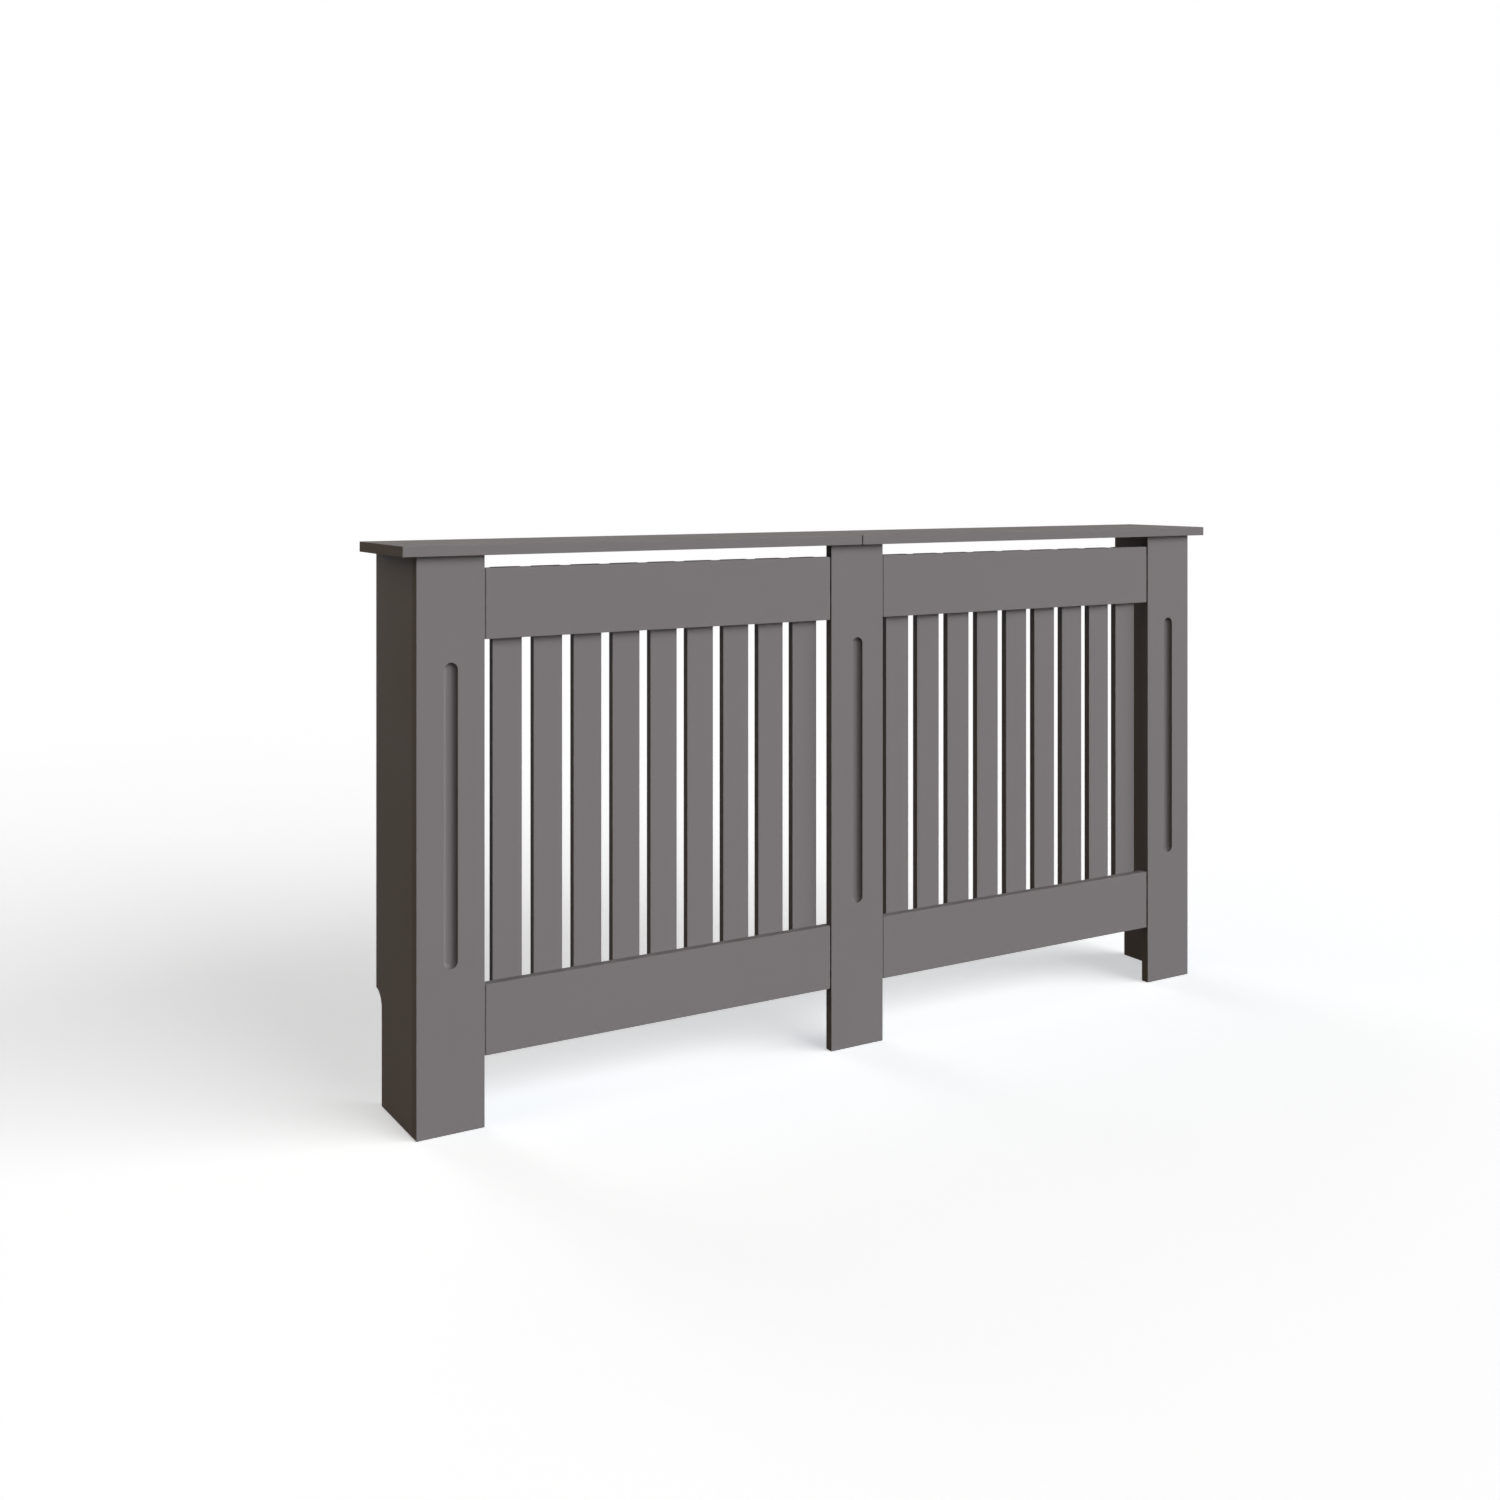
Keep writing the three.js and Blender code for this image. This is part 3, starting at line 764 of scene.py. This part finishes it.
def boresOf(board):
    # every bore of a board, from the fittings that cross its joints
    kind, _, side = board.rpartition("_")
    if board == "leg_centre":
        return [bore for s in sides for bore in railDowelBores(s, end="inner")
                + [boreFor(f"centre_top_dowel_{s}", axisZ)]]
    if kind == "leg":
        return (railDowelBores(side, end="outer") + [boreFor(f"leg_dowel_{side}", axisY)]
                + fittingBores(side, ("lower", "upper"), axisY, False))
    if kind == "side_panel":
        return ([boreFor(f"leg_dowel_{side}", axisY), boreFor(f"rear_top_dowel_{side}", axisZ)]
                + fittingBores(side, ("lower", "upper"), axisY, True)
                + fittingBores(side, ("top",), axisZ, True))
    if kind == "top_board":
        screws = [boreFor(f"plate_screw_{side}_{row}", axisZ) for row in ("front", "rear")]
        dowels = [boreFor(f"{place}_top_dowel_{side}", axisZ) for place in ("rear", "centre")]
        return screws + dowels + fittingBores(side, ("top",), axisZ, False)
    if kind in ("top_rail", "bottom_rail"):
        return railDowelBores(side, level=kind.partition("_")[0])
    return []


def makeBoards():
    # each board by the kind that its node's name gives, bored where something crosses its joints
    made = []
    for node in sorted(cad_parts):
        if node.startswith("leg_") and "dowel" not in node:
            board = makeLeg(node, boardFinish)
        elif node.startswith("side_panel_"):
            board = makeBoard(node, panelCorners(node), axisX, boardFinish)
        elif node.rpartition("_")[0] in ("top_rail", "bottom_rail"):
            board = makeRail(node, boardFinish)
        elif node.startswith("top_board_"):
            board = makeBoard(node, topCorners(node), axisZ, boardFinish)
        elif node.startswith("slat_"):
            board = makeBoard(node, boxCorners(node, axisY), axisY, boardFinish)
        else:
            continue
        bores = boresOf(node)
        if bores:
            cutBores(board, bores)
        shadeByArea(board)
        made.append(finishPiece(board, paint, "painted_board", node))
    return made


boards = makeBoards()
print("boards made:", len(boards))


# Dowels, with the pressed flutes that let the glue out

dowelShape = {
    "chamfer": 0.0010,
    "flutes": 18,
    "flute": 0.00022,  # depth of a flute
    "perFlute": 6,  # points round the bar for each flute
}


def makeDowel(node):
    # a round bar along its node's longest side, with a chamfer at each end and flutes all round
    low, high = (np.array(corner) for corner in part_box(node))
    axis = int(np.argmax(high - low))
    radius = (high - low)[(axis + 1) % 3] / 2
    half = (high - low)[axis] / 2
    chamfer = dowelShape["chamfer"]
    profile = [(radius - chamfer, -half), (radius, -half + chamfer),
               (radius, half - chamfer), (radius - chamfer, half)]
    flutes = dowelShape["flutes"]
    dowel = lathe(f"{node}_fluted", profile, (low + high) / 2, axis,
                  flutes * dowelShape["perFlute"], dowelShape["flute"], flutes)
    shadeByArea(dowel)
    return finishPiece(dowel, wood, "beech_dowel", node)


dowels = [makeDowel(node) for node in sorted(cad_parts) if "dowel" in node]
print("dowels made:", len(dowels))


# Cams, bolts, plate and screws: their own solids with eased edges

fittingEase = {"cam": 0.00025, "bolt": 0.00015, "plate": 0.0003, "screw": 0.00012, "segments": 2}


def easedCopy(node, ending, width, material, slotName):
    # a copy of the node's own solid, merged into flat faces, with a rounded edge of that width
    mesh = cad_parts[node].data.copy()
    work = bmesh.new()
    work.from_mesh(mesh)
    bmesh.ops.remove_doubles(work, verts=work.verts, dist=mergeDistance)
    bmesh.ops.dissolve_limit(work, angle_limit=flatAngle, verts=work.verts, edges=work.edges)
    work.to_mesh(mesh)
    work.free()
    piece = bpy.data.objects.new(f"{node}_{ending}", mesh)
    bpy.context.scene.collection.objects.link(piece)
    ease = piece.modifiers.new("ease", "BEVEL")
    ease.width = width
    ease.segments = fittingEase["segments"]
    ease.limit_method = "ANGLE"
    ease.angle_limit = smoothAngle
    shadeByArea(piece)
    return finishPiece(piece, material, slotName, node)


def makeFittings():
    # each fitting by the kind that its node's name gives
    made = []
    for node in sorted(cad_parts):
        if node.endswith("_cam"):
            made.append(easedCopy(node, "cast", fittingEase["cam"], cast, "zinc_cam"))
        elif node.endswith("_bolt"):
            made.append(easedCopy(node, "plated", fittingEase["bolt"], steel, "plated_steel"))
        elif node == "joining_plate":
            made.append(easedCopy(node, "plated", fittingEase["plate"], steel, "plated_steel"))
        elif node.startswith("plate_screw_"):
            made.append(easedCopy(node, "plated", fittingEase["screw"], steel, "plated_steel"))
    return made


fittings = makeFittings()
print("fittings made:", len(fittings))


# Staples that hold the slats to the rails while the glue sets: in each slat a crown of flat wire
# over each rail, whose ends turn down into the wood

stapleShape = {
    "crown": 0.0100,  # across a crown
    "wire": 0.0012,  # width of the flat wire
    "thick": 0.0006,
    "proud": 0.0003,  # how far the crown stands out of the slat
    "bend": 0.0008,  # radius of the outside of its bends
    "leg": 0.0030,  # how far its ends go into the wood
    "bendSteps": 3,
    "perRail": 2,
    "spread": 0.045,  # between the two over a rail
    "lean": 0.0025,  # how far one may be off its place
    "tilt": 9.0,  # degrees that one may be turned
    "seed": 11,
}


def stapleRings(shape):
    # the wire's four corners along its run: up one leg, round a quarter circle, over the crown and
    # down the other leg; across is X, along the wire's width is Z and out of the wood is Y
    bend, half, top = shape["bend"], shape["crown"] / 2, shape["proud"]
    angle = np.linspace(0, math.pi / 2, shape["bendSteps"] + 1)
    outer = np.stack([half - bend * (1 - np.sin(angle)), top - bend * (1 - np.cos(angle))], axis=1)[::-1]
    inner = outer - shape["thick"] * np.stack([np.sin(angle), np.cos(angle)], axis=1)[::-1]
    foot = np.array([[0.0, bend - shape["leg"]]])
    outer, inner = np.concatenate([outer[:1] + foot, outer]), np.concatenate([inner[:1] + foot, inner])
    mirror = np.array([-1.0, 1.0])
    outer, inner = (np.concatenate([run, run[::-1] * mirror]) for run in (outer, inner))
    side = np.array([-0.5, 0.5, 0.5, -0.5]) * shape["wire"]
    run = np.stack([outer, outer, inner, inner], axis=1)
    return np.stack([run[..., 0], run[..., 1], np.broadcast_to(side, run.shape[:2])], axis=-1)


def makeStaples(shape):
    # one copy of the rings at each place, turned a little about the axis out of the wood
    random = np.random.default_rng(shape["seed"])
    rings = stapleRings(shape)
    rows, columns, _ = rings.shape
    slats = sorted(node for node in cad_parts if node.startswith("slat_"))
    rails = [(low.z + high.z) / 2 for low, high in map(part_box, ("bottom_rail_left", "top_rail_left"))]
    middles = np.array([(low.x + high.x) / 2 for low, high in map(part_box, slats)])
    offsets = (np.arange(shape["perRail"]) - (shape["perRail"] - 1) / 2) * shape["spread"]
    x, rail, offset = (values.ravel() for values in np.meshgrid(middles, rails, offsets, indexing="ij"))
    z = rail + offset + random.uniform(-1, 1, x.size) * shape["lean"]
    x = x + random.uniform(-1, 1, x.size) * shape["lean"]
    turn = np.radians(random.uniform(-1, 1, x.size) * shape["tilt"])
    cos, sin = np.cos(turn)[:, None], np.sin(turn)[:, None]
    flat = rings.reshape(-1, 3)
    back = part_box(slats[0])[1].y
    points = np.stack([x[:, None] + flat[:, 0] * cos - flat[:, 2] * sin,
                       np.broadcast_to(back + flat[:, 1], (x.size, len(flat))),
                       z[:, None] + flat[:, 0] * sin + flat[:, 2] * cos], axis=-1)
    ends = np.array([list(range(columns))[::-1], list(range((rows - 1) * columns, rows * columns))])
    one = np.concatenate([gridQuads(rows, columns), ends])
    faces = (one + len(flat) * np.arange(x.size)[:, None, None]).reshape(-1, 4)
    mesh = bpy.data.meshes.new("slat_staples")
    mesh.from_pydata(points.reshape(-1, 3), [], faces.tolist())
    closeMesh(mesh)
    piece = bpy.data.objects.new("slat_staples", mesh)
    bpy.context.scene.collection.objects.link(piece)
    shadeByArea(piece)
    piece.data.materials.append(steel)
    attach(piece, "root")
    return x.size


print("staples made:", makeStaples(stapleShape))


# Floor and light

floorSetup = {
    "radius": 40.0,
    "rimPoints": 96,
    "white": (0.96, 0.96, 0.96, 1),  # as it is seen
    "bounce": (0.12, 0.10, 0.08, 1),  # as it passes light on to the cabinet
    "glow": 0.457,
    "glowColour": (0.87, 0.935, 1.0, 1),  # evens out the warm light from the left
    "paintedShadowGlow": 0.02,  # painted shadow: the share of the glow that fades under and close behind things
    "paintedShadowReach": 0.30,
    "paintedShadowSamples": 16,
    "fadeCentre": (-0.6, 1.2, 0.0),  # the middle of the long soft shadow
    "fadeStart": 1.6,  # metres from there where the floor starts to turn plain white
    "fadeEnd": 3.2,
}


def seenDirectly(tree, place):
    # 1 for camera, glossy and transmission rays, and 0 for the light that the surfaces pass on
    path = addNode(tree, "ShaderNodeLightPath", place)
    camera = addNode(tree, "ShaderNodeMath", (place[0] + 200, place[1]), settings={"operation": "MAXIMUM"})
    both = addNode(tree, "ShaderNodeMath", (place[0] + 400, place[1]), settings={"operation": "MAXIMUM"})
    link(tree, path.outputs["Is Camera Ray"], camera.inputs[0])
    link(tree, path.outputs["Is Glossy Ray"], camera.inputs[1])
    link(tree, camera.outputs[0], both.inputs[0])
    link(tree, path.outputs["Is Transmission Ray"], both.inputs[1])
    return both.outputs[0]


def makeFloorMaterial(setup):
    # near the cabinet the floor takes its shadow from the lamps, plus a faint painted shadow under and
    # close behind it; far off it turns into the plain white backdrop
    material = bpy.data.materials.new("studioFloor")
    material.use_nodes = True
    tree = material.node_tree
    tree.nodes.clear()
    output = addNode(tree, "ShaderNodeOutputMaterial", (900, 0))
    matte = addNode(tree, "ShaderNodeBsdfDiffuse", (0, 200))
    glow = addNode(tree, "ShaderNodeEmission", (0, 50), sockets={"Color": setup["glowColour"]})
    near = addNode(tree, "ShaderNodeAddShader", (250, 150))
    white = addNode(tree, "ShaderNodeEmission", (250, -50), sockets={"Strength": 1.0})
    blend = addNode(tree, "ShaderNodeMixShader", (600, 0))
    seen = seenDirectly(tree, (-900, -300))
    shown = blendColours(tree, (-250, 500), seen, setup["bounce"], setup["white"])
    link(tree, shown, matte.inputs["Color"])
    # painted shadow: ambient occlusion darkens the floor's glow under and close behind the cabinet
    paintedShadowAO = addNode(tree, "ShaderNodeAmbientOcclusion", (-700, 50),
                       settings={"samples": setup["paintedShadowSamples"]}, sockets={"Distance": setup["paintedShadowReach"]})
    level = addNode(tree, "ShaderNodeMath", (-450, 50), settings={"operation": "MULTIPLY_ADD"},
                    sockets={1: setup["paintedShadowGlow"], 2: setup["glow"]})
    strength = addNode(tree, "ShaderNodeMath", (-250, 50), settings={"operation": "MULTIPLY"})
    link(tree, paintedShadowAO.outputs["AO"], level.inputs[0])
    link(tree, level.outputs[0], strength.inputs[0])
    link(tree, seen, strength.inputs[1])
    link(tree, strength.outputs[0], glow.inputs["Strength"])
    place = addNode(tree, "ShaderNodeTexCoord", (-900, 300))
    far = addNode(tree, "ShaderNodeVectorMath", (-700, 300), settings={"operation": "DISTANCE"},
                  sockets={1: setup["fadeCentre"]})
    fade = addNode(tree, "ShaderNodeMapRange", (-500, 300), settings={"interpolation_type": "SMOOTHSTEP"},
                   sockets={"From Min": setup["fadeStart"], "From Max": setup["fadeEnd"]})
    share = addNode(tree, "ShaderNodeMath", (-250, 300), settings={"operation": "MULTIPLY"})
    link(tree, place.outputs["Object"], far.inputs[0])
    link(tree, far.outputs["Value"], fade.inputs["Value"])
    link(tree, fade.outputs[0], share.inputs[0])
    link(tree, seen, share.inputs[1])
    link(tree, matte.outputs[0], near.inputs[0])
    link(tree, glow.outputs[0], near.inputs[1])
    link(tree, share.outputs[0], blend.inputs[0])
    link(tree, near.outputs[0], blend.inputs[1])
    link(tree, white.outputs[0], blend.inputs[2])
    link(tree, blend.outputs[0], output.inputs["Surface"])
    return material


def makeFloor(setup):
    # a wide disc at the level of the feet
    mesh = bpy.data.meshes.new("floor")
    angle = np.linspace(0, 2 * math.pi, setup["rimPoints"], endpoint=False)
    rim = np.stack([np.cos(angle), np.sin(angle), np.zeros_like(angle)], axis=1) * setup["radius"]
    mesh.from_pydata(rim, [], [list(range(setup["rimPoints"]))])
    floor = bpy.data.objects.new("floor", mesh)
    floor.data.materials.append(makeFloorMaterial(setup))
    bpy.context.scene.collection.objects.link(floor)


makeFloor(floorSetup)

worldSetup = {"fill": (0.0, 0.0, 0.0, 1), "white": (1, 1, 1, 1)}


def makeWorld(setup):
    # seen directly the surroundings are white; they light nothing, because the lamps do that
    world = bpy.data.worlds.new("studio")
    world.use_nodes = True
    tree = world.node_tree
    tree.nodes.clear()
    output = addNode(tree, "ShaderNodeOutputWorld", (600, 0))
    back = addNode(tree, "ShaderNodeBackground", (350, 0), sockets={"Strength": 1.0})
    seen = seenDirectly(tree, (-600, -200))
    shown = blendColours(tree, (50, 0), seen, setup["fill"], setup["white"])
    link(tree, shown, back.inputs["Color"])
    link(tree, back.outputs[0], output.inputs["Surface"])
    bpy.context.scene.world = world


makeWorld(worldSetup)

lamps = [
    {"name": "right", "turn": 55, "height": 10, "strength": 0.93, "spread": 40, "colour": (1, 1, 1)},
    {"name": "lowFront", "turn": 20, "height": 12, "strength": 0.25, "spread": 40, "colour": (1, 1, 1)},
    {"name": "front", "turn": 20, "height": 28, "strength": 0.335, "spread": 40, "colour": (1, 1, 1)},
    {"name": "middle", "turn": 0, "height": 25, "strength": 0.08, "spread": 40, "colour": (1, 1, 1)},
    {"name": "rear", "turn": 180, "height": 40, "strength": 0.095, "spread": 40, "colour": (1, 1, 1)},
    {"name": "lowRear", "turn": 190, "height": 12, "strength": 0.18, "spread": 24, "colour": (1, 1, 1)},
    {"name": "left", "turn": -96, "height": 40, "strength": 0.132, "spread": 60, "colour": (1, 0.62, 0.22)},
]


def makeLamp(lamp):
    # far light from "turn" degrees round to the right of the front and "height" degrees up
    data = bpy.data.lights.new(lamp["name"], "SUN")
    data.energy = lamp["strength"] * math.pi  # 1 shows a colour that faces the lamp as it is written
    data.angle = math.radians(lamp["spread"])
    data.color = lamp["colour"]
    light = bpy.data.objects.new(lamp["name"], data)
    light.rotation_euler = (math.radians(90 - lamp["height"]), 0, math.radians(lamp["turn"]))
    bpy.context.scene.collection.objects.link(light)


for lamp in lamps:
    makeLamp(lamp)
bpy.context.scene.view_settings.view_transform = "Standard"
print("floor and light placed")
